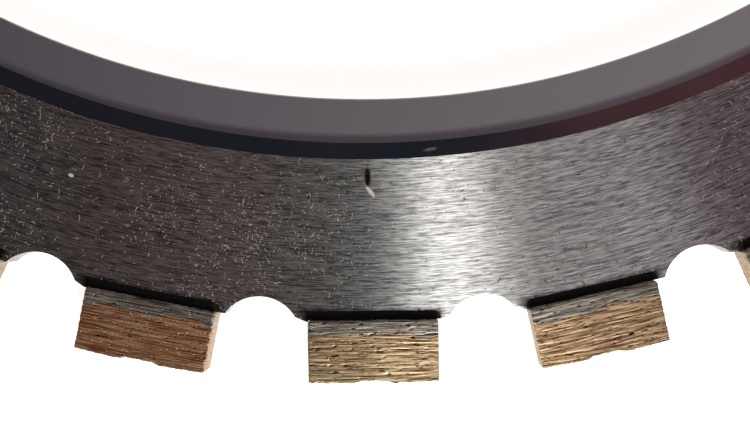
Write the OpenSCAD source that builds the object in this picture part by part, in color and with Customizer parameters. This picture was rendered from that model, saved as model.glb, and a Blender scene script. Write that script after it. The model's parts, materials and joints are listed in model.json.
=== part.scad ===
// Ring saw blade for cutting concrete and masonry.
// A flat steel ring carries laser-welded diamond segments on its outer edge. The drive wheel and
// guide rollers of the saw hold its thin inner flange, so it has no arbor hole.
// The blade lies flat: +Z is its axis, and the origin is the ring's centre at half thickness.

/* [Blade] */
// Diameter over the segments
outer_d = 350; // [330:5:400]
// Diameter of the open centre, at the edge of the drive flange
inner_d = 261.2; // [250:0.2:262]
// Thickness of the steel core
core_t = 3.2; // [2.8:0.1:3.6]

/* [Drive flange] */
// Thickness of the thin flange that the drive wheel and rollers hold
flange_t = 1.4; // [1:0.1:1.8]
// Inner diameter of the full-thickness face, where the guide bevel ends
bevel_outer_d = 280; // [276:0.5:290]
// Width of the guide bevel, measured along the radius
bevel_w = 2.5; // [1.5:0.1:3.5]
// Width of the gentle run-out between the flat land and the bevel
runout_w = 1.3; // [0.5:0.1:2]
// Rise of the run-out
runout_rise = 0.12; // [0.05:0.01:0.2]
// Chamfer on the edge of the drive flange
flange_chamfer = 0.2; // [0.1:0.05:0.3]

/* [Segments] */
// Length of a segment along the rim
segment_l = 20.4; // [18:0.2:22]
// Thickness of a segment, which is wider than the core to give the cut its clearance
segment_t = 4; // [3.8:0.1:4.6]
// Height of a segment from its weld to the rim
segment_h = 10; // [8:0.5:12]
// Height of the diamond-free foot that is welded to the core
foot_h = 2.25; // [1.5:0.05:3]
// Corner radius of the foot
foot_corner_r = 0.6; // [0.3:0.1:1]
// Chamfer along the foot's edges beside the weld
foot_chamfer = 0.25; // [0.1:0.05:0.3]

/* [Rim notch] */
// Width of the shallow notch at the rim
notch_mouth_w = 5.7; // [4:0.1:8]
// Width of the notch's floor
notch_floor_w = 4.6; // [3:0.1:4]
// Depth of the notch
notch_depth = 0.4; // [0.2:0.05:1]

/* [Gullets] */
// Radius of the round gullet between two segments
gullet_r = 6.5; // [5.5:0.05:7]
// Distance from the rim in to the gullet's centre
gullet_inset = 6.35; // [5:0.05:8]
// Distance that the gullet's centre stands off the midpoint between two segments
gullet_offset = 0.15; // [0:0.05:0.5]
// Chamfer round the gullet's edges
gullet_chamfer = 0.1; // [0.05:0.05:0.3]
// Rise of the small lip that stands against one end of each segment
lip_rise = 0.35; // [0.1:0.05:0.5]
// Slope of the lip's outer edge, which falls away towards the gullet
lip_slope = 0.45; // [0.2:0.05:0.8]

/* [Weld seams] */
// Width of the laser weld on the core side of the joint
weld_w = 1.4; // [1.2:0.1:2.2]
// Depth of the groove that the weld melts into each face
weld_groove_depth = 0.35; // [0.2:0.05:0.5]
// Thickness of the weld metal that fills the groove's floor
weld_t = 0.2; // [0.1:0.05:0.2]
// Distance that a weld runs past each end of its segment
weld_overrun = 0.3; // [0:0.1:0.6]

/* [Hidden] */
segment_count = 30;
pitch_angle = 360 / segment_count;
first_angle = -90;
outer_r = outer_d / 2;
inner_r = inner_d / 2;
bevel_outer_r = bevel_outer_d / 2;
bevel_inner_r = bevel_outer_r - bevel_w;
land_outer_r = bevel_inner_r - runout_w;
tooth_y = outer_r - segment_h;
foot_top_y = tooth_y + foot_h;
gullet_y = outer_r - gullet_inset;
blank_r = tooth_y + 1.5;
weld_l = segment_l + 2 * weld_overrun;
weld_corner_r = 0.7 * weld_w;
weld_floor_z = core_t / 2 - weld_groove_depth;
past = 1;
curve_fn = 96;
ring_fn = 360;

segment_nodes = [for (i = [1:segment_count]) str("segment_", i < 10 ? "0" : "", i)];

// Turns its children so that their +Y points outwards at segment number i
module at_segment(i) {
    rotate([0, 0, first_angle - 90 + (i - 1) * pitch_angle]) children();
}

// A rectangle standing on y = 0, with rounded corners at its foot only
module round_footed_rectangle(width, height, corner_r) {
    translate([-width / 2, corner_r]) square([width, height - corner_r]);
    translate([corner_r - width / 2, 0]) square([width - 2 * corner_r, height]);
    for (side = [-1, 1])
        translate([side * (width / 2 - corner_r), corner_r]) circle(corner_r, $fn = curve_fn);
}

// Outline of the core's cross-section above mid-thickness: [radius, height]
function core_upper_outline() = [
    [inner_r, flange_t / 2 - flange_chamfer],
    [inner_r + flange_chamfer, flange_t / 2],
    [land_outer_r, flange_t / 2],
    [bevel_inner_r, flange_t / 2 + runout_rise],
    [bevel_outer_r, core_t / 2],
    [blank_r, core_t / 2]
];

function mirrored_back(points) =
    [for (i = [len(points) - 1:-1:0]) [points[i][0], -points[i][1]]];

module core_blank() {
    upper = core_upper_outline();
    rotate_extrude($fn = ring_fn) polygon(concat(upper, mirrored_back(upper)));
}

// The round gullet, flared at both faces by its edge chamfer
module gullet_cutter() {
    cylinder(r = gullet_r, h = core_t + 2 * past, center = true, $fn = curve_fn);
    for (side = [0, 1])
        mirror([0, 0, side])
            translate([0, 0, core_t / 2 - gullet_chamfer])
                cylinder(
                    r1 = gullet_r,
                    r2 = gullet_r + gullet_chamfer + past,
                    h = gullet_chamfer + past,
                    $fn = curve_fn
                );
}

// What is cut away outside a tooth: the straight seat under the segment, and the lip's slope beyond it
module tooth_cutter() {
    half_w = gullet_y * sin(pitch_angle / 2);
    lip_start = segment_l / 2;
    lip_y = tooth_y + lip_rise;
    linear_extrude(core_t + 2 * past, center = true)
        polygon([
            [-half_w, tooth_y],
            [lip_start, tooth_y],
            [lip_start, lip_y],
            [half_w, lip_y - lip_slope * (half_w - lip_start)],
            [half_w, blank_r + past],
            [-half_w, blank_r + past]
        ]);
}

// Plan of one weld: straight against the segment, with rounded corners on the core side
module weld_plan(reach = 0) {
    translate([0, tooth_y - weld_w]) round_footed_rectangle(weld_l, weld_w + reach, weld_corner_r);
}

module steel_core() {
    color("#8e8b89")
        difference() {
            core_blank();
            for (i = [1:segment_count])
                at_segment(i) {
                    tooth_cutter();
                    rotate([0, 0, pitch_angle / 2])
                        translate([gullet_offset, gullet_y]) gullet_cutter();
                    for (side = [0, 1])
                        mirror([0, 0, side])
                            translate([0, 0, weld_floor_z])
                                linear_extrude(weld_groove_depth + past) weld_plan(past);
                }
        }
}

// Side view of the foot, with chamfered edges beside the weld: x is the height, y the thickness
module foot_side_section() {
    polygon([
        [0, foot_chamfer - segment_t / 2],
        [foot_chamfer, -segment_t / 2],
        [foot_h, -segment_t / 2],
        [foot_h, segment_t / 2],
        [foot_chamfer, segment_t / 2],
        [0, segment_t / 2 - foot_chamfer]
    ]);
}

module segment_foot() {
    translate([0, tooth_y])
        intersection() {
            linear_extrude(segment_t, center = true)
                round_footed_rectangle(segment_l, foot_h, foot_corner_r);
            rotate([0, -90, 0])
                rotate([0, 0, 90])
                    mirror([0, 1])
                        linear_extrude(segment_l + 2 * past, center = true) foot_side_section();
        }
}

module segment_feet() {
    color("#7d7876")
        for (i = [1:segment_count])
            at_segment(i) segment_foot();
}

// Plan of the diamond layer: curved at the rim, with the shallow notch in its middle
module diamond_plan() {
    difference() {
        intersection() {
            circle(outer_r, $fn = ring_fn);
            translate([-segment_l / 2, foot_top_y]) square([segment_l, segment_h]);
        }
        polygon([
            [-notch_floor_w / 2, outer_r - notch_depth],
            [notch_floor_w / 2, outer_r - notch_depth],
            [notch_mouth_w / 2, outer_r],
            [notch_mouth_w / 2, outer_r + past],
            [-notch_mouth_w / 2, outer_r + past],
            [-notch_mouth_w / 2, outer_r]
        ]);
    }
}

module segment(i) {
    color("#a8814f")
        at_segment(i)
            linear_extrude(segment_t, center = true) diamond_plan();
}

// The weld metal on one face; side 0 is the upper face, side 1 the lower
module weld_seams(side) {
    color("#221d1d")
        mirror([0, 0, side])
            for (i = [1:segment_count])
                at_segment(i)
                    translate([0, 0, weld_floor_z]) linear_extrude(weld_t) weld_plan();
}

steel_core();
segment_feet();
weld_seams(0);  // weld_seams_front
weld_seams(1);  // weld_seams_back
for (i = [1:segment_count])
    segment(i);
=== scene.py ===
import json
import math
import bpy
import numpy as np
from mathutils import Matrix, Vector


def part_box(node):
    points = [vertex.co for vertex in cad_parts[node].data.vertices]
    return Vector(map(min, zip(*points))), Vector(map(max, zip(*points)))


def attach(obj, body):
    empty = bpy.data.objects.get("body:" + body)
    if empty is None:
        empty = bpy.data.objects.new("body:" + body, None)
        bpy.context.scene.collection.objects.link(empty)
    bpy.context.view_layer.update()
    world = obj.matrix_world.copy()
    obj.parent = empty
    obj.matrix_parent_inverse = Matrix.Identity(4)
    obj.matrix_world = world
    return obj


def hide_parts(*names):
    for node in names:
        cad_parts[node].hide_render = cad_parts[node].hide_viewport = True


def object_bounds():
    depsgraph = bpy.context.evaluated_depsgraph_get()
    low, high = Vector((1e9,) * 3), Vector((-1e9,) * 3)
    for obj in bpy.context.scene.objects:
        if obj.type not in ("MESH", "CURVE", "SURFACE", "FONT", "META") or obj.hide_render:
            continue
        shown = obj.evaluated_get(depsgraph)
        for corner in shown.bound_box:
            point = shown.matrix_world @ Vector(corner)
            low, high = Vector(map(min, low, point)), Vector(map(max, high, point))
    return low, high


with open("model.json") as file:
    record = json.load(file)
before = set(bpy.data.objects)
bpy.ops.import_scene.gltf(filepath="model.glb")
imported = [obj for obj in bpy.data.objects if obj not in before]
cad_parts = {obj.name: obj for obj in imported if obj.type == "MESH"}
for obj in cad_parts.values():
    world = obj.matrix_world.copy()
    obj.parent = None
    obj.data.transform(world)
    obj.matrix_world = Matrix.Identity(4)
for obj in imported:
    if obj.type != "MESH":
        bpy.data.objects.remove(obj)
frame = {"nodes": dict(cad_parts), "record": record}
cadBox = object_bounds()     # the CAD box, before any piece is made
print("frame loaded")

mm = 0.001
scene = bpy.context.scene
scene.view_settings.view_transform = "Standard"

segmentNames = sorted(name for name in frame["nodes"] if name[:8] == "segment_" and name[8:].isdigit())
segmentCount = len(segmentNames)
pitch = 2 * math.pi / segmentCount
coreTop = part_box("steel_core")[1].z
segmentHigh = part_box("segment_01")[1]        # the first segment stands on -Y
mounts = {mount["name"]: mount for mount in frame["record"]["mounts"]}


def toLinear(colour):
    values = [int(colour[i:i + 2], 16) / 255 for i in (1, 3, 5)]
    return tuple(v / 12.92 if v <= 0.04045 else ((v + 0.055) / 1.055) ** 2.4 for v in values) + (1,)


def setInputs(tree, node, inputs):
    # an input is given a link if its value is a socket, and a fixed value if not
    for name, value in inputs.items():
        if isinstance(value, bpy.types.NodeSocket):
            tree.links.new(value, node.inputs[name])
        elif isinstance(value, str) and value.startswith("#"):
            node.inputs[name].default_value = toLinear(value)
        else:
            node.inputs[name].default_value = value


def addNode(tree, kind, settings=None, inputs=None):
    node = tree.nodes.new(kind)
    for name, value in (settings or {}).items():
        setattr(node, name, value)
    setInputs(tree, node, inputs or {})
    return node


# the camera looks straight down on the lower rim from close by
view = {
    "place": (5.11 * mm, -147.81 * mm, 110.25 * mm),
    "turn": (-0.97, -0.62, -0.62),        # degrees about X, Y and Z
    "lens": 33.6,
    "shift": -0.05,
    "sensor": 36,
    "clipStart": 5 * mm,
}


def makeCamera():
    data = bpy.data.cameras.new("camera")
    data.sensor_width = view["sensor"]
    data.lens = view["lens"]
    data.shift_x = view["shift"]
    data.clip_start = view["clipStart"]
    camera = bpy.data.objects.new("camera", data)
    camera.location = view["place"]
    camera.rotation_mode = "ZXY"
    camera.rotation_euler = [math.radians(angle) for angle in view["turn"]]
    scene.collection.objects.link(camera)
    scene.camera = camera


makeCamera()
print("camera set")


# patterns that several materials share: nicks and worn spots on bare steel
wear = {
    "nickBend": 0.4,
    "patchSize": 18.18 * mm,       # the nicks gather in patches
    "patchRange": (0.4, 0.62),
    "sparse": 0.25,                # share of the nicks that is left between the patches
    "raggedSize": 0.4 * mm,
    "raggedness": 0.5,
    "spotEdge": (0.7, 1.3),
}


def newMaterial(name):
    material = bpy.data.materials.new(name)
    material.use_nodes = True
    tree = material.node_tree
    tree.nodes.clear()
    shader = addNode(tree, "ShaderNodeBsdfPrincipled")
    addNode(tree, "ShaderNodeOutputMaterial", {}, {"Surface": shader.outputs[0]})
    return material, tree, shader


def ringCoordinates(tree):
    # plan position, unit vector outwards and radius
    place = addNode(tree, "ShaderNodeTexCoord").outputs["Object"]
    plan = addNode(tree, "ShaderNodeVectorMath", {"operation": "MULTIPLY"},
                   {0: place, 1: (1, 1, 0)}).outputs[0]
    outward = addNode(tree, "ShaderNodeVectorMath", {"operation": "NORMALIZE"}, {0: plan}).outputs[0]
    radius = addNode(tree, "ShaderNodeVectorMath", {"operation": "LENGTH"}, {0: plan}).outputs["Value"]
    return {"plan": plan, "outward": outward, "radius": radius}


def brushMarks(tree, ring, length, width, seed):
    # noise drawn out round the ring, true to length in the middle of the brushed face
    turned = addNode(tree, "ShaderNodeVectorMath", {"operation": "SCALE"},
                     {0: ring["outward"], "Scale": core["faceMiddle"] / length}).outputs[0]
    lanes = addNode(tree, "ShaderNodeMath", {"operation": "MULTIPLY_ADD"},
                    {0: ring["radius"], 1: 1 / width, 2: seed}).outputs[0]
    lift = addNode(tree, "ShaderNodeCombineXYZ", {}, {"Z": lanes}).outputs[0]
    place = addNode(tree, "ShaderNodeVectorMath", {"operation": "ADD"}, {0: turned, 1: lift}).outputs[0]
    return addNode(tree, "ShaderNodeTexNoise", {},
                   {"Vector": place, "Scale": 1.0, "Detail": 2.0}).outputs["Fac"]


def nickMarks(tree, plan, spacing, length, width, share, seed):
    # one short bent scratch, turned its own way, in some of the cells of a loose grid
    cellPlace = addNode(tree, "ShaderNodeVectorMath", {"operation": "MULTIPLY_ADD"},
                        {0: plan, 1: (1 / spacing, 1 / spacing, 0), 2: (seed, seed * 0.7, 0)}).outputs[0]
    cells = addNode(tree, "ShaderNodeTexVoronoi", {"voronoi_dimensions": "2D"},
                    {"Vector": cellPlace, "Scale": 1.0})
    chance = addNode(tree, "ShaderNodeSeparateXYZ", {}, {0: cells.outputs["Color"]})
    away = addNode(tree, "ShaderNodeVectorMath", {"operation": "SUBTRACT"},
                   {0: cellPlace, 1: cells.outputs["Position"]}).outputs[0]
    angle = addNode(tree, "ShaderNodeMath", {"operation": "MULTIPLY"},
                    {0: chance.outputs[0], 1: math.pi}).outputs[0]
    turned = addNode(tree, "ShaderNodeVectorRotate", {"rotation_type": "Z_AXIS"},
                     {"Vector": away, "Angle": angle}).outputs[0]
    axes = addNode(tree, "ShaderNodeSeparateXYZ", {}, {0: turned})
    bend = addNode(tree, "ShaderNodeMath", {"operation": "MULTIPLY"},
                   {0: axes.outputs[0], 1: axes.outputs[0]}).outputs[0]
    across = addNode(tree, "ShaderNodeMath", {"operation": "MULTIPLY_ADD"},
                     {0: bend, 1: wear["nickBend"], 2: axes.outputs[1]}).outputs[0]
    thin = addNode(tree, "ShaderNodeMath", {"operation": "ABSOLUTE"}, {0: across}).outputs[0]
    line = addNode(tree, "ShaderNodeMapRange", {"interpolation_type": "SMOOTHSTEP"},
                   {0: thin, 1: 0.0, 2: width / spacing, 3: 1.0, 4: 0.0}).outputs[0]
    far = addNode(tree, "ShaderNodeMath", {"operation": "ABSOLUTE"}, {0: axes.outputs[0]}).outputs[0]
    reach = addNode(tree, "ShaderNodeMath", {"operation": "MULTIPLY"},
                    {0: chance.outputs[1], 1: length / spacing / 2}).outputs[0]
    within = addNode(tree, "ShaderNodeMath", {"operation": "LESS_THAN"}, {0: far, 1: reach}).outputs[0]
    patches = addNode(tree, "ShaderNodeTexNoise", {},
                      {"Vector": plan, "Scale": 1 / wear["patchSize"], "Detail": 1.0}).outputs["Fac"]
    likely = addNode(tree, "ShaderNodeMapRange", {},
                     {0: patches, 1: wear["patchRange"][0], 2: wear["patchRange"][1],
                      3: share * wear["sparse"], 4: share}).outputs[0]
    chosen = addNode(tree, "ShaderNodeMath", {"operation": "LESS_THAN"},
                     {0: chance.outputs[2], 1: likely}).outputs[0]
    drawn = addNode(tree, "ShaderNodeMath", {"operation": "MULTIPLY"}, {0: line, 1: within}).outputs[0]
    return addNode(tree, "ShaderNodeMath", {"operation": "MULTIPLY"}, {0: drawn, 1: chosen}).outputs[0]


def spotMark(tree, plan, place, size, turn):
    # a soft-edged oval at one place, 1 in its middle
    away = addNode(tree, "ShaderNodeVectorMath", {"operation": "SUBTRACT"},
                   {0: plan, 1: (place[0] * mm, place[1] * mm, 0)}).outputs[0]
    turned = addNode(tree, "ShaderNodeVectorRotate", {"rotation_type": "Z_AXIS"},
                     {"Vector": away, "Angle": math.radians(turn)}).outputs[0]
    scaled = addNode(tree, "ShaderNodeVectorMath", {"operation": "DIVIDE"},
                     {0: turned, 1: (size[0] * mm, size[1] * mm, 1)}).outputs[0]
    ragged = addNode(tree, "ShaderNodeTexNoise", {},
                     {"Vector": plan, "Scale": 1 / wear["raggedSize"], "Detail": 2.0}).outputs["Fac"]
    far = addNode(tree, "ShaderNodeVectorMath", {"operation": "LENGTH"}, {0: scaled}).outputs["Value"]
    edge = addNode(tree, "ShaderNodeMath", {"operation": "MULTIPLY_ADD"},
                   {0: ragged, 1: wear["raggedness"], 2: far}).outputs[0]
    return addNode(tree, "ShaderNodeMapRange", {"interpolation_type": "SMOOTHSTEP"},
                   {0: edge, 1: wear["spotEdge"][0], 2: wear["spotEdge"][1], 3: 1.0, 4: 0.0}).outputs[0]


# the steel core is one closed sweep of its cross-section round the ring
core = {
    "innerRadius": mounts["drive_bore"]["dims"]["r_mm"] * mm,
    "edgeChamfer": 0.2 * mm,
    "flangeHalf": 0.7 * mm,
    "landOuter": 136.2 * mm,
    "bevelInner": 137.5 * mm,
    "runoutRise": 0.12 * mm,
    "bevelOuter": 140 * mm,
    "faceRings": (148 * mm, 156 * mm, 161.2 * mm),      # rows of points between the bevel and the gullets
    "faceMiddle": 150 * mm,
    "seat": 165 * mm,              # straight edge of a tooth, from the ring's centre
    "gulletRadius": 6.5 * mm,
    "gulletCentre": 168.65 * mm,
    "gulletOffset": 0.15 * mm,     # the gullets stand a little off the midpoint between two teeth
    "lipStart": 10.2 * mm,
    "lipTop": 165.35 * mm,
    "lipSlope": 0.45,
    "edgeRound": 0.1 * mm,
    "grooveHalfLength": 10.5 * mm,
    "grooveWidth": 1.4 * mm,
    "grooveCorner": 0.98 * mm,
    "grooveDepth": 0.35 * mm,
    "scorchFade": 0.5 * mm,        # how far past a weld's end the scorching reaches
    "sharpFrom": 28,               # degrees between two faces
}


def gulletAngle(side):
    # where a gullet stands from the middle of a tooth: side is 1 towards the lip and -1 away from it
    return side * pitch / 2 + math.asin(core["gulletOffset"] / core["gulletCentre"])


def gulletWall(angle, side):
    # distance from the ring's centre to the near wall of a gullet, or infinity beside it
    turn = angle - gulletAngle(side)
    reach = abs(core["gulletCentre"] * math.sin(turn))
    if reach >= core["gulletRadius"]:
        return math.inf
    return core["gulletCentre"] * math.cos(turn) - math.sqrt(core["gulletRadius"] ** 2 - reach ** 2)


def toothTop(angle):
    # distance from the ring's centre to the seat, or to the lip's sloping edge beyond it
    if core["seat"] * math.tan(angle) < core["lipStart"]:
        return core["seat"] / math.cos(angle)
    return (core["lipTop"] + core["lipSlope"] * core["lipStart"]) / (
        math.cos(angle) + core["lipSlope"] * math.sin(angle))


def outlineRadius(angle):
    return min(toothTop(angle), gulletWall(angle, -1), gulletWall(angle, 1))


def toothTip(side):
    # the angle at which a gullet's wall meets the tooth's top, found by halving
    inTooth, inGullet = 0.0, gulletAngle(side)
    for _ in range(40):
        middle = (inTooth + inGullet) / 2
        if gulletWall(middle, side) <= toothTop(middle):
            inGullet = middle
        else:
            inTooth = middle
    return inGullet


def stationAngles():
    # where cross-sections stand over one pitch: in even steps round the gullets, and closer at lip and weld
    angles = []
    for side in (-1, 1):
        away = side * (gulletAngle(side) - toothTip(side))
        last = math.asin(core["gulletCentre"] * math.sin(away) / core["gulletRadius"])
        for step in np.linspace(0, last, 11):
            turn = math.asin(core["gulletRadius"] * math.sin(step) / core["gulletCentre"])
            angles.append(gulletAngle(side) - side * turn)
    end, corner = core["grooveHalfLength"], core["grooveCorner"]
    marks = [core["lipStart"] - 0.01 * mm, core["lipStart"] + 0.01 * mm]
    for side in (-1, 1):
        marks += [side * (end + 0.02 * mm), side * (end - 0.02 * mm)]
        marks += [side * (end - corner * (1 - math.cos(t))) for t in np.linspace(0.35, math.pi / 2, 4)]
    marks += list(np.linspace(-7.5, 7.5, 7) * mm)
    angles += [math.atan(mark / core["seat"]) for mark in marks]
    return sorted(angles)


def grooveStart(across):
    # how far out the weld's groove starts, at a distance across the tooth from its middle
    start = core["seat"] - core["grooveWidth"]
    over = abs(across) - (core["grooveHalfLength"] - core["grooveCorner"])
    if over > 0:
        start += core["grooveCorner"] - math.sqrt(max(core["grooveCorner"] ** 2 - over ** 2, 0))
    return start


def crossSection(angle):
    # the upper half as (radius, height, zone), from the bore outwards
    # every section has the same number of points
    inner, chamfer, flange = core["innerRadius"], core["edgeChamfer"], core["flangeHalf"]
    rounding, outer = core["edgeRound"], outlineRadius(angle)
    points = [
        (inner, 0, "edge"),
        (inner, flange - chamfer, "edge"),
        (inner + chamfer, flange, "land"),
        (inner + chamfer + 0.1 * mm, flange, "land"),
        (core["landOuter"] - 0.3 * mm, flange, "land"),
    ]
    for step in np.linspace(0, 1, 4):
        points.append((core["landOuter"] + step * (core["bevelInner"] - core["landOuter"]),
                       flange + step ** 2 * core["runoutRise"], "land"))
    points += [
        (core["bevelInner"] + 0.05 * mm, flange + core["runoutRise"] + 0.015 * mm, "bevel"),
        (core["bevelOuter"] - 0.05 * mm, coreTop - 0.015 * mm, "bevel"),
        (core["bevelOuter"], coreTop, "bevel"),
        (core["bevelOuter"] + 0.1 * mm, coreTop, "face"),
    ]
    points += [(radius, coreTop, "face") for radius in core["faceRings"]]
    across = core["seat"] * math.tan(angle)
    if abs(across) < core["grooveHalfLength"]:
        start = grooveStart(across) / math.cos(angle)
        floor = coreTop - core["grooveDepth"]
        points += [
            (start - 0.1 * mm, coreTop, "face"),
            (start, coreTop, "face"),
            (start + 0.02 * mm, floor, "groove"),
            (outer - rounding, floor, "groove"),
            (outer, floor, "edge"),
            (outer, floor - rounding, "edge"),
        ]
    else:
        last = core["faceRings"][-1]
        width = outer - last - rounding
        points += [(last + width * share, coreTop, "face") for share in (0.5, 0.7, 0.9)]
        points += [
            (outer - rounding, coreTop, "face"),
            (outer - rounding * 0.3, coreTop - rounding * 0.3, "edge"),
            (outer, coreTop - rounding, "edge"),
        ]
    points.append((outer, 0, "edge"))
    return points


def makeCore(zones):
    # zones lists the materials' names in the order of the core's slots
    angles = stationAngles()
    verts, kinds, besideWeld = [], [], []
    for tooth in range(segmentCount):
        for angle in angles[:-1]:
            section = crossSection(angle)
            lower = [(radius, -height, zone) for radius, height, zone in section[-2:0:-1]]
            past = abs(core["seat"] * math.tan(angle)) - core["grooveHalfLength"]
            turn = tooth * pitch - math.pi / 2 - angle
            for radius, height, zone in section + lower:
                verts.append((radius * math.cos(turn), radius * math.sin(turn), height))
                kinds.append(zone)
                besideWeld.append(min(max(1 - past / core["scorchFade"], 0), 1))
    stations = segmentCount * (len(angles) - 1)
    around = len(verts) // stations
    grid = np.arange(len(verts)).reshape(stations, around)
    # a tooth's sections run clockwise and the teeth the other way, so the sections are put in one order
    order = []
    for tooth in range(segmentCount):
        first = tooth * (len(angles) - 1)
        order += list(range(first + len(angles) - 2, first - 1, -1))
    grid = grid[order]
    faces = []
    for a in range(stations):
        b = (a + 1) % stations
        for i in range(around):
            j = (i + 1) % around
            faces.append((grid[a, i], grid[a, j], grid[b, j], grid[b, i]))
    mesh = bpy.data.meshes.new("steelCore")
    mesh.from_pydata(verts, [], [tuple(int(v) for v in face) for face in faces])
    mesh.attributes.new("besideWeld", "FLOAT", "POINT").data.foreach_set("value", besideWeld)
    names = list(zones)
    for polygon, face in zip(mesh.polygons, faces):
        touching = [kinds[v] for v in face]
        # a face goes to the zone that most of its corners are in
        zone = max(set(touching), key=lambda kind: (touching.count(kind), names.index(kind)))
        polygon.material_index = names.index(zone)
    for material in zones.values():
        mesh.materials.append(material)
    mesh.shade_smooth()
    mesh.set_sharp_from_angle(angle=math.radians(core["sharpFrom"]))
    piece = bpy.data.objects.new("steelCore", mesh)
    scene.collection.objects.link(piece)
    return piece


def brushedSteel():
    # tool steel brushed round the ring: satin, with hair lines, a bright radial gleam and many small nicks,
    # whose near-white, non-metallic colour is a painted glint
    look = {
        "steel": "#ebebe8",
        "shade": "#777774",
        "stain": "#ab9c98",
        "nick": "#f0ece2",
        "speck": "#33261c",
        "scorch": "#2a201b",
        "roughness": 0.40,
        "anisotropic": 1.0,
        # length and width of each layer of brush marks, drawn wider than real ones so that they show
        "hairs": ((2.6 * mm, 0.15 * mm), (1.4 * mm, 0.12 * mm), (4.5 * mm, 0.18 * mm)),
        "hairRange": (1.25, 1.75),
        "relief": 0.002 * mm,
        "roughnessRange": (1.2, 1.8),
        "stainSize": 71.43 * mm,
        "stainRange": (0.4, 0.7),
        "stainShare": 0.3,
        "scorchStart": 163.7 * mm,
        "scorchEnd": 164.8 * mm,
        "scorchWander": 1.4 * mm,
        "scorchGrain": 1.111 * mm,
        "scorchShare": 0.9,
        # spacing, greatest length and half width in mm, share of the places that have one, and seed
        "specks": ((2.9, 0.9, 0.16, 0.26, 14.0), (1.1, 0.6, 0.1, 0.34, 21.0)),
        "nicks": ((8.5, 8.0, 0.045, 0.12, 12.0), (2.1, 1.3, 0.045, 0.22, 1.0),
                  (0.9, 0.75, 0.04, 0.34, 5.0), (0.45, 0.36, 0.035, 0.30, 9.0)),
        # place and half size in mm, and turn in degrees, of single marks
        "smudge": ((-0.6, -142.9), (0.62, 2.0), 0),
        "gouges": (((-0.2, -145.1), (0.36, 1.3), -38), ((-46.3, -142.1), (0.5, 0.3), 20)),
    }
    material, tree, shader = newMaterial("brushedSteel")
    ring = ringCoordinates(tree)
    tone = None
    for number, (length, width) in enumerate(look["hairs"]):
        layer = brushMarks(tree, ring, length, width, 3.0 + 8.0 * number)
        tone = layer if tone is None else addNode(
            tree, "ShaderNodeMath", {"operation": "ADD"}, {0: tone, 1: layer}).outputs[0]
    toneRange = addNode(tree, "ShaderNodeMapRange", {},
                        {0: tone, 1: look["hairRange"][0], 2: look["hairRange"][1]}).outputs[0]
    colour = addNode(tree, "ShaderNodeMix", {"data_type": "RGBA"},
                     {"Factor": toneRange, 6: look["shade"], 7: look["steel"]}).outputs[2]
    drift = addNode(tree, "ShaderNodeTexNoise", {},
                    {"Vector": ring["plan"], "Scale": 1 / look["stainSize"], "Detail": 2.0}).outputs["Fac"]
    stained = addNode(tree, "ShaderNodeMapRange", {},
                      {0: drift, 1: look["stainRange"][0], 2: look["stainRange"][1],
                       3: 0.0, 4: look["stainShare"]}).outputs[0]

    # heat from the laser has scorched the steel beside the welds
    rough = addNode(tree, "ShaderNodeTexNoise", {},
                    {"Vector": ring["plan"], "Scale": 1 / look["scorchGrain"],
                     "Detail": 3.0}).outputs["Fac"]
    heat = addNode(tree, "ShaderNodeMath", {"operation": "MULTIPLY_ADD"},
                   {0: rough, 1: look["scorchWander"], 2: ring["radius"]}).outputs[0]
    scorched = addNode(tree, "ShaderNodeMapRange", {"interpolation_type": "SMOOTHSTEP"},
                       {0: heat, 1: look["scorchStart"], 2: look["scorchEnd"],
                        3: 0.0, 4: look["scorchShare"]}).outputs[0]
    besideWeld = addNode(tree, "ShaderNodeAttribute", {"attribute_name": "besideWeld"}).outputs["Fac"]
    scorch = addNode(tree, "ShaderNodeMath", {"operation": "MULTIPLY"},
                     {0: scorched, 1: besideWeld}).outputs[0]

    dark = spotMark(tree, ring["plan"], *look["smudge"])
    for spacing, length, width, share, seed in look["specks"]:
        layer = nickMarks(tree, ring["plan"], spacing * mm, length * mm, width * mm, share, seed)
        dark = addNode(tree, "ShaderNodeMath", {"operation": "MAXIMUM"}, {0: dark, 1: layer}).outputs[0]

    # nicks and gouges are real marks, drawn near white and not metallic as a painted glint
    layers = [spotMark(tree, ring["plan"], *gouge) for gouge in look["gouges"]]
    layers += [nickMarks(tree, ring["plan"], spacing * mm, length * mm, width * mm, share, seed)
               for spacing, length, width, share, seed in look["nicks"]]
    nicks = layers[0]
    for layer in layers[1:]:
        nicks = addNode(tree, "ShaderNodeMath", {"operation": "MAXIMUM"}, {0: nicks, 1: layer}).outputs[0]
    for shade, factor in (("stain", stained), ("scorch", scorch), ("speck", dark), ("nick", nicks)):
        colour = addNode(tree, "ShaderNodeMix", {"data_type": "RGBA"},
                         {"Factor": factor, 6: colour, 7: look[shade]}).outputs[2]
    metal = addNode(tree, "ShaderNodeMapRange", {}, {0: nicks, 1: 0.0, 2: 0.3, 3: 1.0, 4: 0.0}).outputs[0]
    roughness = addNode(tree, "ShaderNodeMapRange", {},
                        {0: tone, 1: look["roughnessRange"][0], 2: look["roughnessRange"][1],
                         3: look["roughness"] - 0.01, 4: look["roughness"] + 0.01}).outputs[0]
    bump = addNode(tree, "ShaderNodeBump", {},
                   {"Height": tone, "Strength": 0.5, "Distance": look["relief"]}).outputs[0]
    # the tangent points outwards, so the gleam is drawn out across the brush marks
    setInputs(tree, shader, {"Base Color": colour, "Metallic": metal, "Roughness": roughness, "Normal": bump,
                             "Tangent": ring["outward"], "Anisotropic": look["anisotropic"]})
    return material


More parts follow.
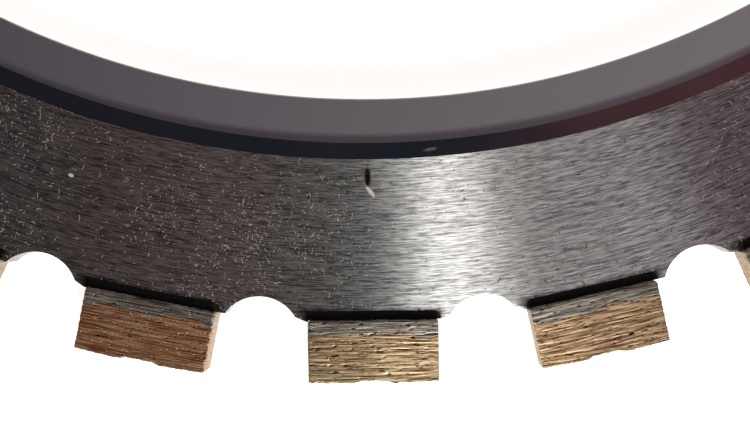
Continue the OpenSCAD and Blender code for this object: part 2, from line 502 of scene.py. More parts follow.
def groundLand():
    # ground and phosphated drive flange: an even, matt, cool grey, made paler towards +X by painted light
    look = {
        "hollow": "#7a777f",
        "crest": "#a7a2a7",
        "grainSize": 0.4545 * mm,      # coarser than the coating's own grain, so that it shows
        "grainRange": (0.3, 0.7),
        "driftWidth": 125 * mm,        # painted light: the grey grows paler towards +X over this width
        "metallic": 0.55,
        "roughness": 0.62,
    }
    material, tree, shader = newMaterial("groundLand")
    ring = ringCoordinates(tree)
    noise = addNode(tree, "ShaderNodeTexNoise", {},
                    {"Vector": ring["plan"], "Scale": 1 / look["grainSize"], "Detail": 3.0}).outputs["Fac"]
    grain = addNode(tree, "ShaderNodeMapRange", {},
                    {0: noise, 3: look["grainRange"][0], 4: look["grainRange"][1]}).outputs[0]
    axes = addNode(tree, "ShaderNodeSeparateXYZ", {}, {0: ring["plan"]})
    # worn here holds the grain plus painted light that grows paler towards +X; it is no wear
    worn = addNode(tree, "ShaderNodeMath", {"operation": "MULTIPLY_ADD", "use_clamp": True},
                   {0: axes.outputs[0], 1: 1 / look["driftWidth"], 2: grain}).outputs[0]
    colour = addNode(tree, "ShaderNodeMix", {"data_type": "RGBA"},
                     {"Factor": worn, 6: look["hollow"], 7: look["crest"]}).outputs[2]
    setInputs(tree, shader, {"Base Color": colour, "Metallic": look["metallic"],
                             "Roughness": look["roughness"]})
    return material


def temperedBevel():
    # induction-hardened guide bevel: dark, smooth and glossy, with a blue to maroon tint across X that is a
    # painted reflection
    look = {
        "blue": "#566071",
        "maroon": "#b08085",
        "scuff": "#c9b9b4",
        "turnWidth": 120 * mm,         # painted reflection: the colour goes from blue to maroon over this width
        "turnRange": (0.45, 1.1),
        "cloudSize": 25 * mm,
        "scuffMark": ((9.2, -138.6), (1.3, 0.35), -12),
        "metallic": 1.0,
        "scuffMetallic": 0.3,
        "roughness": 0.3,
    }
    material, tree, shader = newMaterial("temperedBevel")
    ring = ringCoordinates(tree)
    drift = addNode(tree, "ShaderNodeTexNoise", {},
                    {"Vector": ring["plan"], "Scale": 1 / look["cloudSize"], "Detail": 2.0}).outputs["Fac"]
    axes = addNode(tree, "ShaderNodeSeparateXYZ", {}, {0: ring["plan"]})
    along = addNode(tree, "ShaderNodeMath", {"operation": "MULTIPLY_ADD"},
                    {0: axes.outputs[0], 1: 1 / look["turnWidth"], 2: drift}).outputs[0]
    # the blue to maroon tint across X stands in for reflected surroundings: painted reflection
    paintedTint = addNode(tree, "ShaderNodeMapRange", {"interpolation_type": "SMOOTHSTEP"},
                     {0: along, 1: look["turnRange"][0], 2: look["turnRange"][1]}).outputs[0]
    colour = addNode(tree, "ShaderNodeMix", {"data_type": "RGBA"},
                     {"Factor": paintedTint, 6: look["blue"], 7: look["maroon"]}).outputs[2]
    scuff = spotMark(tree, ring["plan"], *look["scuffMark"])
    colour = addNode(tree, "ShaderNodeMix", {"data_type": "RGBA"},
                     {"Factor": scuff, 6: colour, 7: look["scuff"]}).outputs[2]
    bare = addNode(tree, "ShaderNodeMapRange", {},
                   {0: scuff, 3: look["metallic"], 4: look["scuffMetallic"]}).outputs[0]
    setInputs(tree, shader, {"Base Color": colour, "Metallic": bare, "Roughness": look["roughness"]})
    return material


def cutEdge():
    # laser-cut edges of the ring: bright bare steel, finely ridged through the thickness
    look = {
        "valley": "#7f7a72",
        "ridge": "#b9b3a8",
        "ridgeSize": 0.2857 * mm,      # coarser than real ones, so that they show
        "relief": 0.03 * mm,
        "metallic": 1.0,
        "roughness": 0.45,
    }
    material, tree, shader = newMaterial("laserCutEdge")
    ring = ringCoordinates(tree)
    ridges = addNode(tree, "ShaderNodeTexNoise", {},
                     {"Vector": ring["plan"], "Scale": 1 / look["ridgeSize"], "Detail": 2.0}).outputs["Fac"]
    colour = addNode(tree, "ShaderNodeMix", {"data_type": "RGBA"},
                     {"Factor": ridges, 6: look["valley"], 7: look["ridge"]}).outputs[2]
    bump = addNode(tree, "ShaderNodeBump", {},
                   {"Height": ridges, "Strength": 0.5, "Distance": look["relief"]}).outputs[0]
    setInputs(tree, shader, {"Base Color": colour, "Normal": bump,
                             "Metallic": look["metallic"], "Roughness": look["roughness"]})
    return material


def weldOxideAndShade():
    # steel blackened by the heat of the laser: sooty and dull, and made near black as painted shade for the
    # shadow the proud segments cast on the welds
    look = {
        "soot": "#030202",
        "scale": "#15100f",
        "grainSize": 1.111 * mm,
        "metallic": 0.2,
        "roughness": 0.75,
    }
    material, tree, shader = newMaterial("oxidisedWeldSteel")
    place = addNode(tree, "ShaderNodeTexCoord").outputs["Object"]
    soot = addNode(tree, "ShaderNodeTexNoise", {},
                   {"Vector": place, "Scale": 1 / look["grainSize"], "Detail": 3.0}).outputs["Fac"]
    colour = addNode(tree, "ShaderNodeMix", {"data_type": "RGBA"},
                     {"Factor": soot, 6: look["soot"], 7: look["scale"]}).outputs[2]
    setInputs(tree, shader, {"Base Color": colour, "Metallic": look["metallic"],
                             "Roughness": look["roughness"]})
    return material


# the welds and the groove floors are near black: laser oxide, and painted shade for the segments' cast
# shadow
darkWeldAndShade = weldOxideAndShade()
steelCore = makeCore({"land": groundLand(), "face": brushedSteel(), "bevel": temperedBevel(),
                      "groove": darkWeldAndShade, "edge": cutEdge()})
print("steel core made:", len(steelCore.data.polygons), "faces")


# segments and feet are rounded blocks with ground stripes, pits and chipped edges
block = {
    "halfLength": segmentHigh.x,
    "halfThickness": segmentHigh.z,
    "seat": core["seat"],
    "footTop": -segmentHigh.y,
    "rim": 175 * mm,
    "edgeRound": 0.14 * mm,
    "footChamfer": 0.25 * mm,
    "footCorner": 0.6 * mm,
    "notchMouth": 2.85 * mm,       # half widths
    "notchFloor": 2.3 * mm,
    "notchDepth": 0.4 * mm,
    "stripeDepth": 0.06 * mm,
    "stripeSize": (6 * mm, 0.34 * mm, 2 * mm),
    "stripeRange": (0.52, 0.36),
    "pitDepth": 0.1 * mm,
    "pitSize": (1.3 * mm, 0.3 * mm, 1 * mm),
    "pitRange": (0.33, 0.26),
    "grainSize": 5 / 9 * mm,       # of the sinter skin, coarser than the real grit so that it shows
    "grainDepth": 0.03 * mm,
    "chipDepth": 0.6 * mm,
    "chipRange": (0.45, 0.7),
    "notchWander": 0.9 * mm,
    "notchFadeStart": 1.1 * mm,    # the notch fades in between these depths below the rim
    "notchFadeEnd": 0.1 * mm,
    "segmentGrid": (91, 53),       # points along and across a face
    "footGrid": (71, 13),
    "layers": 8,
    "seedStep": 0.0137,
    "sharpFrom": 62,               # degrees between two faces
    "endCalm": 0.8,                # the ends were pressed against the mould and are smoother than the faces
}


def evaluateTree(name, tree, values):
    # runs a node tree once and keeps its result as a plain mesh
    piece = bpy.data.objects.new(name, bpy.data.meshes.new(name))
    scene.collection.objects.link(piece)
    modifier = piece.modifiers.new("build", "NODES")
    modifier.node_group = tree
    for socket in tree.interface.items_tree:
        if socket.in_out == "INPUT" and socket.name in values:
            modifier[socket.identifier] = values[socket.name]
    evaluated = piece.evaluated_get(bpy.context.evaluated_depsgraph_get())
    mesh = bpy.data.meshes.new_from_object(evaluated)
    piece.modifiers.remove(modifier)
    piece.data = mesh
    mesh.name = name
    mesh.set_sharp_from_angle(angle=math.radians(block["sharpFrom"]))
    return piece


def newTree(name, inputs):
    tree = bpy.data.node_groups.new(name, "GeometryNodeTree")
    tree.interface.new_socket("Geometry", in_out="OUTPUT", socket_type="NodeSocketGeometry")
    for label, (kind, value) in inputs.items():
        socket = tree.interface.new_socket(label, in_out="INPUT", socket_type=kind)
        socket.default_value = value
    given = tree.nodes.new("NodeGroupInput").outputs
    return tree, given


def blockTree(material):
    # one block of sintered metal between two heights, turned to its place on the rim
    tree, given = newTree("sinteredBlock", {
        "Bottom": ("NodeSocketFloat", block["seat"]),
        "Top": ("NodeSocketFloat", block["rim"]),
        "Columns": ("NodeSocketInt", block["segmentGrid"][0]),
        "Rows": ("NodeSocketInt", block["segmentGrid"][1]),
        "Angle": ("NodeSocketFloat", 0.0),
        "Seed": ("NodeSocketFloat", 0.0),
        "Redness": ("NodeSocketFloat", 0.0),
    })
    tall = addNode(tree, "ShaderNodeMath", {"operation": "SUBTRACT"},
                   {0: given["Top"], 1: given["Bottom"]}).outputs[0]
    middle = addNode(tree, "ShaderNodeMath", {"operation": "MULTIPLY_ADD"},
                     {0: tall, 1: 0.5, 2: given["Bottom"]}).outputs[0]
    size = addNode(tree, "ShaderNodeCombineXYZ", {},
                   {0: 2 * block["halfLength"], 1: tall, 2: 2 * block["halfThickness"]}).outputs[0]
    box = addNode(tree, "GeometryNodeMeshCube", {},
                  {"Size": size, "Vertices X": given["Columns"], "Vertices Y": given["Rows"],
                   "Vertices Z": block["layers"]})
    lift = addNode(tree, "ShaderNodeCombineXYZ", {}, {1: middle}).outputs[0]
    position = addNode(tree, "GeometryNodeInputPosition").outputs[0]
    raw = addNode(tree, "ShaderNodeVectorMath", {"operation": "ADD"}, {0: position, 1: lift}).outputs[0]

    # round the edges of the whole block from weld to rim, so that foot and diamond layer meet flush
    inset = block["edgeRound"]
    low = (inset - block["halfLength"], block["seat"] + inset, inset - block["halfThickness"])
    high = (block["halfLength"] - inset, block["rim"] - inset, block["halfThickness"] - inset)
    kept = addNode(tree, "ShaderNodeVectorMath", {"operation": "MAXIMUM"}, {0: raw, 1: low}).outputs[0]
    kept = addNode(tree, "ShaderNodeVectorMath", {"operation": "MINIMUM"}, {0: kept, 1: high}).outputs[0]
    beyond = addNode(tree, "ShaderNodeVectorMath", {"operation": "SUBTRACT"}, {0: raw, 1: kept}).outputs[0]
    outward = addNode(tree, "ShaderNodeVectorMath", {"operation": "NORMALIZE"}, {0: beyond}).outputs[0]

    # coordinates that the patterns and the material share: a shift along Z gives each block its own noise
    shift = addNode(tree, "ShaderNodeCombineXYZ", {}, {2: given["Seed"]}).outputs[0]
    own = addNode(tree, "ShaderNodeVectorMath", {"operation": "ADD"}, {0: raw, 1: shift}).outputs[0]
    stripePlace = addNode(tree, "ShaderNodeVectorMath", {"operation": "DIVIDE"},
                          {0: own, 1: block["stripeSize"]}).outputs[0]
    stripeNoise = addNode(tree, "ShaderNodeTexNoise", {},
                          {"Vector": stripePlace, "Scale": 1.0, "Detail": 2.0,
                           "Distortion": 0.3}).outputs["Fac"]
    stripes = addNode(tree, "ShaderNodeMapRange", {"interpolation_type": "SMOOTHSTEP"},
                      {0: stripeNoise, 1: block["stripeRange"][0], 2: block["stripeRange"][1]}).outputs[0]
    pitPlace = addNode(tree, "ShaderNodeVectorMath", {"operation": "DIVIDE"},
                       {0: own, 1: block["pitSize"]}).outputs[0]
    pitNoise = addNode(tree, "ShaderNodeTexNoise", {},
                       {"Vector": pitPlace, "Scale": 1.0, "Detail": 1.0}).outputs["Fac"]
    pits = addNode(tree, "ShaderNodeMapRange", {"interpolation_type": "SMOOTHSTEP"},
                   {0: pitNoise, 1: block["pitRange"][0], 2: block["pitRange"][1]}).outputs[0]
    roughPlace = addNode(tree, "ShaderNodeVectorMath", {"operation": "SCALE"},
                         {0: own, "Scale": 1 / block["grainSize"]}).outputs[0]
    rough = addNode(tree, "ShaderNodeTexNoise", {},
                    {"Vector": roughPlace, "Scale": 1.0, "Detail": 1.0}).outputs["Fac"]

    # stripes and pits cut into the block, and a coarse sinter skin over all of it
    striped = addNode(tree, "ShaderNodeMath", {"operation": "MULTIPLY"},
                      {0: stripes, 1: -block["stripeDepth"]}).outputs[0]
    pitted = addNode(tree, "ShaderNodeMath", {"operation": "MULTIPLY_ADD"},
                     {0: pits, 1: -block["pitDepth"], 2: striped}).outputs[0]
    skin = addNode(tree, "ShaderNodeMath", {"operation": "MULTIPLY_ADD"},
                   {0: rough, 1: -block["grainDepth"], 2: pitted}).outputs[0]
    # edges are chipped: on an edge the outward direction has no part close to 1
    facing = addNode(tree, "ShaderNodeVectorMath", {"operation": "ABSOLUTE"}, {0: outward}).outputs[0]
    parts = addNode(tree, "ShaderNodeSeparateXYZ", {}, {0: facing})
    largest = addNode(tree, "ShaderNodeMath", {"operation": "MAXIMUM"},
                      {0: parts.outputs[0], 1: parts.outputs[1]}).outputs[0]
    largest = addNode(tree, "ShaderNodeMath", {"operation": "MAXIMUM"},
                      {0: largest, 1: parts.outputs[2]}).outputs[0]
    edge = addNode(tree, "ShaderNodeMath", {"operation": "SUBTRACT"}, {0: 1.0, 1: largest}).outputs[0]
    chipNoise = addNode(tree, "ShaderNodeMapRange", {},
                        {0: rough, 1: block["chipRange"][0], 2: block["chipRange"][1]}).outputs[0]
    chips = addNode(tree, "ShaderNodeMath", {"operation": "MULTIPLY"}, {0: edge, 1: chipNoise}).outputs[0]
    worn = addNode(tree, "ShaderNodeMath", {"operation": "MULTIPLY_ADD"},
                   {0: chips, 1: -block["chipDepth"], 2: skin}).outputs[0]
    calm = addNode(tree, "ShaderNodeMath", {"operation": "MULTIPLY_ADD"},
                   {0: parts.outputs[0], 1: -block["endCalm"], 2: 1.0}).outputs[0]
    reach = addNode(tree, "ShaderNodeMath", {"operation": "MULTIPLY_ADD"},
                    {0: worn, 1: calm, 2: inset}).outputs[0]
    push = addNode(tree, "ShaderNodeVectorMath", {"operation": "SCALE"},
                   {0: outward, "Scale": reach}).outputs[0]
    rounded = addNode(tree, "ShaderNodeVectorMath", {"operation": "ADD"}, {0: kept, 1: push}).outputs[0]

    # the rim follows the blade's circle and dips into the notch; rows near the foot stay straight
    axes = addNode(tree, "ShaderNodeSeparateXYZ", {}, {0: rounded})
    squared = addNode(tree, "ShaderNodeMath", {"operation": "MULTIPLY"},
                      {0: axes.outputs[0], 1: axes.outputs[0]}).outputs[0]
    sag = addNode(tree, "ShaderNodeMath", {"operation": "MULTIPLY"},
                  {0: squared, 1: 0.5 / block["rim"]}).outputs[0]
    aside = addNode(tree, "ShaderNodeMath", {"operation": "ABSOLUTE"}, {0: axes.outputs[0]}).outputs[0]
    ragged = addNode(tree, "ShaderNodeMath", {"operation": "MULTIPLY_ADD"},
                     {0: rough, 1: block["notchWander"], 2: aside}).outputs[0]
    notch = addNode(tree, "ShaderNodeMapRange", {},
                    {0: ragged, 1: block["notchFloor"] + 0.3 * mm, 2: block["notchMouth"] + 0.6 * mm,
                     3: block["notchDepth"], 4: 0.0}).outputs[0]
    sagFade = addNode(tree, "ShaderNodeMapRange", {},
                      {0: axes.outputs[1], 1: block["footTop"] + 1 * mm, 2: block["rim"]}).outputs[0]
    notchFade = addNode(tree, "ShaderNodeMapRange", {},
                        {0: axes.outputs[1], 1: block["rim"] - block["notchFadeStart"],
                         2: block["rim"] - block["notchFadeEnd"]}).outputs[0]
    curved = addNode(tree, "ShaderNodeMath", {"operation": "MULTIPLY"}, {0: sag, 1: sagFade}).outputs[0]
    height = addNode(tree, "ShaderNodeMath", {"operation": "MULTIPLY_ADD"},
                     {0: notch, 1: notchFade, 2: curved}).outputs[0]
    lowered = addNode(tree, "ShaderNodeMath", {"operation": "SUBTRACT"},
                      {0: axes.outputs[1], 1: height}).outputs[0]
    # the foot is chamfered along its seat
    squeeze = addNode(tree, "ShaderNodeMapRange", {},
                      {0: axes.outputs[1], 1: block["seat"], 2: block["seat"] + block["footChamfer"],
                       3: 1 - block["footChamfer"] / block["halfThickness"], 4: 1.0}).outputs[0]
    thinned = addNode(tree, "ShaderNodeMath", {"operation": "MULTIPLY"},
                      {0: axes.outputs[2], 1: squeeze}).outputs[0]
    # and its two corners there are rounded off
    cornerShare = block["footCorner"] / block["halfLength"]
    near = addNode(tree, "ShaderNodeMapRange", {},
                   {0: axes.outputs[1], 1: block["seat"], 2: block["seat"] + block["footCorner"], 3: 1.0,
                    4: 0.0}).outputs[0]
    nearSquared = addNode(tree, "ShaderNodeMath", {"operation": "MULTIPLY"}, {0: near, 1: near}).outputs[0]
    rest = addNode(tree, "ShaderNodeMath", {"operation": "SUBTRACT"}, {0: 1.0, 1: nearSquared}).outputs[0]
    arc = addNode(tree, "ShaderNodeMath", {"operation": "SQRT"}, {0: rest}).outputs[0]
    narrowing = addNode(tree, "ShaderNodeMath", {"operation": "MULTIPLY_ADD"},
                        {0: arc, 1: cornerShare, 2: 1 - cornerShare}).outputs[0]
    narrowed = addNode(tree, "ShaderNodeMath", {"operation": "MULTIPLY"},
                       {0: axes.outputs[0], 1: narrowing}).outputs[0]
    placed = addNode(tree, "ShaderNodeCombineXYZ", {}, {0: narrowed, 1: lowered, 2: thinned}).outputs[0]
    turned = addNode(tree, "ShaderNodeVectorRotate", {"rotation_type": "Z_AXIS"},
                     {"Vector": placed, "Angle": given["Angle"]}).outputs[0]

    # what the material needs to know is stored on the points before they move
    shape = box.outputs["Mesh"]
    for name, kind, value in (("blockPlace", "FLOAT_VECTOR", own), ("pit", "FLOAT", pits),
                              ("redness", "FLOAT", given["Redness"])):
        shape = addNode(tree, "GeometryNodeStoreNamedAttribute", {"data_type": kind, "domain": "POINT"},
                        {"Geometry": shape, "Name": name, "Value": value}).outputs[0]
    moved = addNode(tree, "GeometryNodeSetPosition", {}, {"Geometry": shape, "Position": turned})
    smooth = addNode(tree, "GeometryNodeSetShadeSmooth", {}, {"Geometry": moved.outputs[0]})
    real = addNode(tree, "GeometryNodeRealizeInstances", {}, {"Geometry": smooth.outputs[0]})
    finished = addNode(tree, "GeometryNodeSetMaterial", {},
                       {"Geometry": real.outputs[0], "Material": material})
    addNode(tree, "NodeGroupOutput", {}, {0: finished.outputs[0]})
    return tree


def groundSinter():
    # sintered bronze on a sintered iron foot, ground along the rim: striped and satin, with open pores,
    # whose near-black insides are painted shade
    look = {
        "bronze": "#7c583b",
        "brightBronze": "#f4dbab",
        "redBronze": "#98532e",
        "brightRedBronze": "#f2c094",
        "foot": "#59534a",
        "brightFoot": "#cbc2b2",
        "pore": "#120c0a",
        "boundary": block["footTop"] + 0.2 * mm,       # where the foot's grey gives way to bronze
        "boundaryBlur": 0.25 * mm,
        "wander": 5.0 * mm,
        "wanderSize": (5 * mm, 3 * mm, 2 * mm),
        "skin": "#a8957a",
        "stripeSize": (5 * mm, 0.18 * mm, 2 * mm),     # coarser than real grinding marks so that it shows
        "stripeRange": (0.38, 0.61),
        "poreSize": (1.0 * mm, 0.17 * mm, 0.5 * mm),
        "poreRange": (0.37, 0.32),
        "skinDepth": 0.1 * mm,
        "skinShare": 0.7,
        "relief": 0.06 * mm,
        "metallic": 0.75,
        "roughness": 0.5,
        "anisotropic": 0.8,
    }
    material, tree, shader = newMaterial("groundSinter")
    place = addNode(tree, "ShaderNodeAttribute", {"attribute_name": "blockPlace"}).outputs["Vector"]
    pit = addNode(tree, "ShaderNodeAttribute", {"attribute_name": "pit"}).outputs["Fac"]
    stripePlace = addNode(tree, "ShaderNodeVectorMath", {"operation": "DIVIDE"},
                          {0: place, 1: look["stripeSize"]}).outputs[0]
    stripes = addNode(tree, "ShaderNodeTexNoise", {},
                      {"Vector": stripePlace, "Scale": 1.0, "Detail": 3.0,
                       "Distortion": 0.4}).outputs["Fac"]
    stripeRange = addNode(tree, "ShaderNodeMapRange", {},
                          {0: stripes, 1: look["stripeRange"][0], 2: look["stripeRange"][1]}).outputs[0]
    bronze, redder, iron = [
        addNode(tree, "ShaderNodeMix", {"data_type": "RGBA"},
                {"Factor": stripeRange, 6: look[dark], 7: look[bright]}).outputs[2]
        for dark, bright in (("bronze", "brightBronze"), ("redBronze", "brightRedBronze"),
                             ("foot", "brightFoot"))]
    redness = addNode(tree, "ShaderNodeAttribute", {"attribute_name": "redness"}).outputs["Fac"]
    bronze = addNode(tree, "ShaderNodeMix", {"data_type": "RGBA"},
                     {"Factor": redness, 6: bronze, 7: redder}).outputs[2]
    wanderPlace = addNode(tree, "ShaderNodeVectorMath", {"operation": "DIVIDE"},
                          {0: place, 1: look["wanderSize"]}).outputs[0]
    wander = addNode(tree, "ShaderNodeTexNoise", {},
                     {"Vector": wanderPlace, "Scale": 1.0, "Detail": 4.0}).outputs["Fac"]
    axes = addNode(tree, "ShaderNodeSeparateXYZ", {}, {0: place})
    edge = addNode(tree, "ShaderNodeMath", {"operation": "MULTIPLY_ADD"},
                   {0: wander, 1: look["wander"], 2: axes.outputs[1]}).outputs[0]
    middle = look["boundary"] + look["wander"] / 2
    isBronze = addNode(tree, "ShaderNodeMapRange", {"interpolation_type": "SMOOTHSTEP"},
                       {0: edge, 1: middle - look["boundaryBlur"],
                        2: middle + look["boundaryBlur"]}).outputs[0]
    metal = addNode(tree, "ShaderNodeMix", {"data_type": "RGBA"},
                    {"Factor": isBronze, 6: iron, 7: bronze}).outputs[2]
    # the ends keep a paler skin from the mould
    endward = addNode(tree, "ShaderNodeMath", {"operation": "ABSOLUTE"}, {0: axes.outputs[0]}).outputs[0]
    atEnd = addNode(tree, "ShaderNodeMapRange", {},
                    {0: endward, 1: block["halfLength"] - look["skinDepth"], 2: block["halfLength"],
                     3: 0.0, 4: look["skinShare"]}).outputs[0]
    metal = addNode(tree, "ShaderNodeMix", {"data_type": "RGBA"},
                    {"Factor": atEnd, 6: metal, 7: look["skin"]}).outputs[2]
    porePlace = addNode(tree, "ShaderNodeVectorMath", {"operation": "DIVIDE"},
                        {0: place, 1: look["poreSize"]}).outputs[0]
    poreNoise = addNode(tree, "ShaderNodeTexNoise", {},
                        {"Vector": porePlace, "Scale": 1.0, "Detail": 1.0}).outputs["Fac"]
    pores = addNode(tree, "ShaderNodeMapRange", {"interpolation_type": "SMOOTHSTEP"},
                    {0: poreNoise, 1: look["poreRange"][0], 2: look["poreRange"][1]}).outputs[0]
    # pits and pores are drawn near black: painted shade in the holes
    shadedHoles = addNode(tree, "ShaderNodeMath", {"operation": "MAXIMUM"}, {0: pit, 1: pores}).outputs[0]
    colour = addNode(tree, "ShaderNodeMix", {"data_type": "RGBA"},
                     {"Factor": shadedHoles, 6: metal, 7: look["pore"]}).outputs[2]
    height = addNode(tree, "ShaderNodeMath", {"operation": "SUBTRACT"},
                     {0: stripes, 1: shadedHoles}).outputs[0]
    bump = addNode(tree, "ShaderNodeBump", {},
                   {"Height": height, "Strength": 0.9, "Distance": look["relief"]}).outputs[0]
    setInputs(tree, shader, {"Base Color": colour, "Normal": bump,
                             "Tangent": ringCoordinates(tree)["outward"], "Metallic": look["metallic"],
                             "Roughness": look["roughness"], "Anisotropic": look["anisotropic"]})
    return material


sinterTree = blockTree(groundSinter())
segments = []
footParts = []
layers = (
    (segments, "segment", block["footTop"], block["rim"], block["segmentGrid"]),
    (footParts, "foot", block["seat"], block["footTop"], block["footGrid"]),
)
for number, name in enumerate(segmentNames):
    for made, label, bottom, top, grid in layers:
        made.append(evaluateTree(label + name[8:], sinterTree, {
            "Bottom": bottom,
            "Top": top,
            "Columns": grid[0],
            "Rows": grid[1],
            "Angle": math.pi + number * pitch,
            "Seed": block["seedStep"] * (number + 1),
            "Redness": (1 - math.cos(number)) / 2,       # some powder mixes are redder than others
        }))
with bpy.context.temp_override(active_object=footParts[0], selected_editable_objects=footParts):
    bpy.ops.object.join()
segmentFeet = footParts[0]
segmentFeet.name = "segmentFeet"
print("segments made:", sum(len(piece.data.polygons) for piece in segments), "faces")


# the weld seams are a rippled bead beside each foot, on both faces
weld = {
    "halfLength": core["grooveHalfLength"],
    "width": core["grooveWidth"],
    "floor": coreTop - core["grooveDepth"],
    "thickness": 0.2 * mm,
    "rippleStep": 0.4 * mm,
    "rippleHeight": 0.05 * mm,
    "rippleBow": 900.0,            # each ripple is a parabola across the bead
    "columns": 161,
    "rows": 9,
}


def weldTree(material):
    # one bead, repeated at each tooth
    tree, given = newTree("weldSeams", {
        "Count": ("NodeSocketInt", segmentCount),
        "Side": ("NodeSocketFloat", 1.0),
    })
    box = addNode(tree, "GeometryNodeMeshCube", {},
                  {"Size": (2 * weld["halfLength"], weld["width"], weld["thickness"]),
                   "Vertices X": weld["columns"], "Vertices Y": weld["rows"], "Vertices Z": 3})
    position = addNode(tree, "GeometryNodeInputPosition").outputs[0]
    axes = addNode(tree, "ShaderNodeSeparateXYZ", {}, {0: position})
    bowed = addNode(tree, "ShaderNodeMath", {"operation": "MULTIPLY"},
                    {0: axes.outputs[1], 1: axes.outputs[1]}).outputs[0]
    along = addNode(tree, "ShaderNodeMath", {"operation": "MULTIPLY_ADD"},
                    {0: bowed, 1: weld["rippleBow"], 2: axes.outputs[0]}).outputs[0]
    phase = addNode(tree, "ShaderNodeMath", {"operation": "MULTIPLY"},
                    {0: along, 1: 2 * math.pi / weld["rippleStep"]}).outputs[0]
    wave = addNode(tree, "ShaderNodeMath", {"operation": "SINE"}, {0: phase}).outputs[0]
    top = addNode(tree, "ShaderNodeMath", {"operation": "GREATER_THAN"},
                  {0: axes.outputs[2], 1: 0.4 * weld["thickness"]}).outputs[0]
    lift = addNode(tree, "ShaderNodeMath", {"operation": "MULTIPLY"}, {0: wave, 1: top}).outputs[0]
    up = addNode(tree, "ShaderNodeMath", {"operation": "MULTIPLY"},
                 {0: lift, 1: weld["rippleHeight"]}).outputs[0]
    # the core-side corners are pulled in to round them
    endward = addNode(tree, "ShaderNodeMath", {"operation": "ABSOLUTE"}, {0: axes.outputs[0]}).outputs[0]
    near = addNode(tree, "ShaderNodeMapRange", {},
                   {0: endward, 1: weld["halfLength"] - core["grooveCorner"],
                    2: weld["halfLength"]}).outputs[0]
    curve = addNode(tree, "ShaderNodeMath", {"operation": "POWER"}, {0: near, 1: 2.5}).outputs[0]
    inner = addNode(tree, "ShaderNodeMapRange", {},
                    {0: axes.outputs[1], 1: weld["width"] / 2, 2: -weld["width"] / 2}).outputs[0]
    cut = addNode(tree, "ShaderNodeMath", {"operation": "MULTIPLY"}, {0: curve, 1: inner}).outputs[0]
    pull = addNode(tree, "ShaderNodeMath", {"operation": "MULTIPLY"},
                   {0: cut, 1: core["grooveCorner"]}).outputs[0]
    offset = addNode(tree, "ShaderNodeCombineXYZ", {}, {1: pull, 2: up}).outputs[0]
    shaped = addNode(tree, "GeometryNodeSetPosition", {},
                     {"Geometry": box.outputs["Mesh"], "Offset": offset})
    height = addNode(tree, "ShaderNodeMath", {"operation": "MULTIPLY"},
                     {0: given["Side"], 1: weld["floor"] + weld["thickness"] / 2}).outputs[0]
    place = addNode(tree, "ShaderNodeCombineXYZ", {},
                    {1: core["seat"] - weld["width"] / 2, 2: height}).outputs[0]
    flip = addNode(tree, "ShaderNodeMapRange", {},
                   {0: given["Side"], 1: 1.0, 2: -1.0, 3: 0.0, 4: math.pi}).outputs[0]
    roll = addNode(tree, "ShaderNodeCombineXYZ", {}, {1: flip}).outputs[0]
    lifted = addNode(tree, "GeometryNodeTransform", {},
                     {"Geometry": shaped.outputs[0], "Translation": place, "Rotation": roll})
    spots = addNode(tree, "GeometryNodeMeshLine", {}, {"Count": given["Count"], "Offset": (0, 0, 0)})
    index = addNode(tree, "GeometryNodeInputIndex").outputs[0]
    turn = addNode(tree, "ShaderNodeMath", {"operation": "MULTIPLY_ADD"},
                   {0: index, 1: pitch, 2: math.pi}).outputs[0]
    spin = addNode(tree, "ShaderNodeCombineXYZ", {}, {2: turn}).outputs[0]
    copies = addNode(tree, "GeometryNodeInstanceOnPoints", {},
                     {"Points": spots.outputs[0], "Instance": lifted.outputs[0], "Rotation": spin})
    real = addNode(tree, "GeometryNodeRealizeInstances", {}, {"Geometry": copies.outputs[0]})
    smooth = addNode(tree, "GeometryNodeSetShadeSmooth", {}, {"Geometry": real.outputs[0]})
    finished = addNode(tree, "GeometryNodeSetMaterial", {},
                       {"Geometry": smooth.outputs[0], "Material": material})
    addNode(tree, "NodeGroupOutput", {}, {0: finished.outputs[0]})
    return tree


seamTree = weldTree(darkWeldAndShade)
weldFront = evaluateTree("weldSeamsFront", seamTree, {"Side": 1.0})
weldBack = evaluateTree("weldSeamsBack", seamTree, {"Side": -1.0})
print("weld seams made")


# which piece stands for which node
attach(steelCore, "root")
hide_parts("steel_core")
for piece, name in zip(segments, segmentNames):
    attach(piece, "root")
    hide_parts(name)
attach(segmentFeet, "root")
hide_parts("segment_feet")
for piece, name in ((weldFront, "weld_seams_front"), (weldBack, "weld_seams_back")):
    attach(piece, "root")
    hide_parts(name)


# floor and light
studio = {
    "floorSize": 6.0,
    "floor": "#f4f3f1",
    "floorRoughness": 0.9,
    "floorGlow": 0.95,
    "aim": (0, -0.155, 0),         # the lights point at the lower rim of the blade
    "wallLeft": "#9c9897",
    "wallRight": "#d2cdcc",
    # what the steel mirrors overhead, from left to right: dark, brown, neutral, then a little violet
    "ceiling": ((-0.6, "#0f0e11"), (-0.47, "#1d191b"), (-0.34, "#5a4243"), (-0.2, "#604f50"),
                (-0.08, "#535754"), (0.1, "#565758"), (0.25, "#60525a"), (0.4, "#664b54")),
    "wallRange": (-0.6, -0.1),
    "riseRange": (0.1, 0.7),       # rise of a direction over which the walls turn to ceiling
    "key": {"azimuth": -81.5, "height": 13.6, "distance": 1.5, "size": (0.24, 0.07), "power": 28.0},
    "side": {"azimuth": -62, "height": 20, "distance": 1.2, "size": (0.6, 0.3), "power": 5.0},
}


def makeFloor():
    material, tree, shader = newMaterial("paleFloor")
    setInputs(tree, shader, {"Base Color": studio["floor"], "Roughness": studio["floorRoughness"],
                             "Emission Color": studio["floor"], "Emission Strength": studio["floorGlow"]})
    half = studio["floorSize"] / 2
    low = cadBox[0].z - 0.02 * mm
    mesh = bpy.data.meshes.new("floor")
    corners = [(-half, -half, low), (half, -half, low), (half, half, low), (-half, half, low)]
    mesh.from_pydata(corners, [], [(0, 1, 2, 3)])
    mesh.materials.append(material)
    floor = bpy.data.objects.new("floor", mesh)
    scene.collection.objects.link(floor)


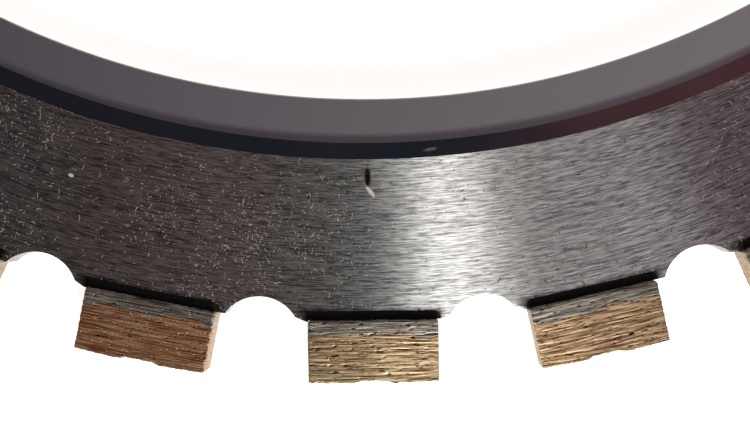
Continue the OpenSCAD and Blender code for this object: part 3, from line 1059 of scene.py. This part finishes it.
def makeLight(name, lamp):
    # a softbox
    data = bpy.data.lights.new(name, "AREA")
    data.shape = "RECTANGLE"
    data.size, data.size_y = lamp["size"]
    data.energy = lamp["power"]
    light = bpy.data.objects.new(name, data)
    azimuth, height = math.radians(lamp["azimuth"]), math.radians(lamp["height"])
    level = math.cos(height)
    away = Vector((level * math.cos(azimuth), level * math.sin(azimuth), math.sin(height)))
    light.location = Vector(studio["aim"]) + away * lamp["distance"]
    light.rotation_euler = away.to_track_quat("Z", "Y").to_euler()
    scene.collection.objects.link(light)


def makeSky():
    world = bpy.data.worlds.new("studio")
    world.use_nodes = True
    tree = world.node_tree
    tree.nodes.clear()
    direction = addNode(tree, "ShaderNodeTexCoord").outputs["Generated"]
    axes = addNode(tree, "ShaderNodeSeparateXYZ", {}, {0: direction})
    across = addNode(tree, "ShaderNodeMapRange", {"interpolation_type": "SMOOTHSTEP"},
                     {0: axes.outputs[0], 1: studio["wallRange"][0], 2: studio["wallRange"][1]}).outputs[0]
    first, last = studio["ceiling"][0][0], studio["ceiling"][-1][0]
    along = addNode(tree, "ShaderNodeMapRange", {}, {0: axes.outputs[0], 1: first, 2: last}).outputs[0]
    ceiling = addNode(tree, "ShaderNodeValToRGB", {}, {0: along})
    stops = ceiling.color_ramp.elements
    stops.remove(stops[1])
    for number, (place, shade) in enumerate(studio["ceiling"]):
        stop = stops[0] if number == 0 else stops.new((place - first) / (last - first))
        stop.color = toLinear(shade)
    wall = addNode(tree, "ShaderNodeMix", {"data_type": "RGBA"},
                   {"Factor": across, 6: studio["wallLeft"],
                    7: studio["wallRight"]}).outputs[2]
    rise = addNode(tree, "ShaderNodeMapRange", {"interpolation_type": "SMOOTHSTEP"},
                   {0: axes.outputs[2], 1: studio["riseRange"][0], 2: studio["riseRange"][1]}).outputs[0]
    colour = addNode(tree, "ShaderNodeMix", {"data_type": "RGBA"},
                     {"Factor": rise, 6: wall, 7: ceiling.outputs[0]}).outputs[2]
    glow = addNode(tree, "ShaderNodeBackground", {}, {"Color": colour, "Strength": 1.0})
    addNode(tree, "ShaderNodeOutputWorld", {}, {"Surface": glow.outputs[0]})
    scene.world = world


makeFloor()
makeLight("key", studio["key"])
makeLight("side", studio["side"])
makeSky()
print("studio set")
